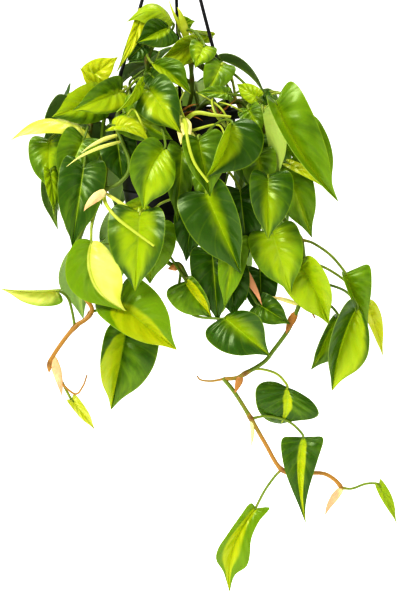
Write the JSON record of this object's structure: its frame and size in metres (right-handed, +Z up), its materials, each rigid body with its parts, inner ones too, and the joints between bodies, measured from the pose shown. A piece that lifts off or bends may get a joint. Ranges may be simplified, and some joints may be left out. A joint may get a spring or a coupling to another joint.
{
  "type": "hanging potted plant",
  "caption": "Heart-leaved climbing houseplant with lime-striped leaves, trailing from a round plastic hanging pot with saucer, strands and hook.",
  "frame": {"origin": "where the hook bears on what it hangs from, on the pot's upright axis", "axes": "+Z up along the pot's axis, -Y towards the viewer of the side with the long trailing vine, +X to that viewer's right"},
  "size_m": [0.4152, 0.3186, 0.7776],
  "materials": {
    "pot_plastic": "moulded black plastic, slight sheen",
    "hanger_plastic": "moulded black plastic",
    "bark_mix": "moist bark and peat",
    "leaf": "living leaf, semi-gloss, dark green with lime and yellow stripes",
    "leaf_back": "living leaf, semi-gloss, dark green with lime and yellow stripes"
  },
  "bodies": {
    "root": {"pot": "pot_plastic", "saucer": "pot_plastic", "hanger": "hanger_plastic", "potting_mix": "bark_mix", "vine_left": "leaf", "vine_far_left": "leaf", "vine_centre_left": "leaf", "vine_centre": "leaf", "vine_trailing": "leaf", "vine_right": "leaf", "vine_crown_left": "leaf", "vine_crown_right": "leaf", "vine_back_1": "leaf_back", "vine_back_2": "leaf_back", "vine_back_3": "leaf_back", "vine_back_4": "leaf_back", "vine_back_5": "leaf_back", "vine_back_6": "leaf_back", "vine_back_7": "leaf_back"}
  },
  "joints": []
}
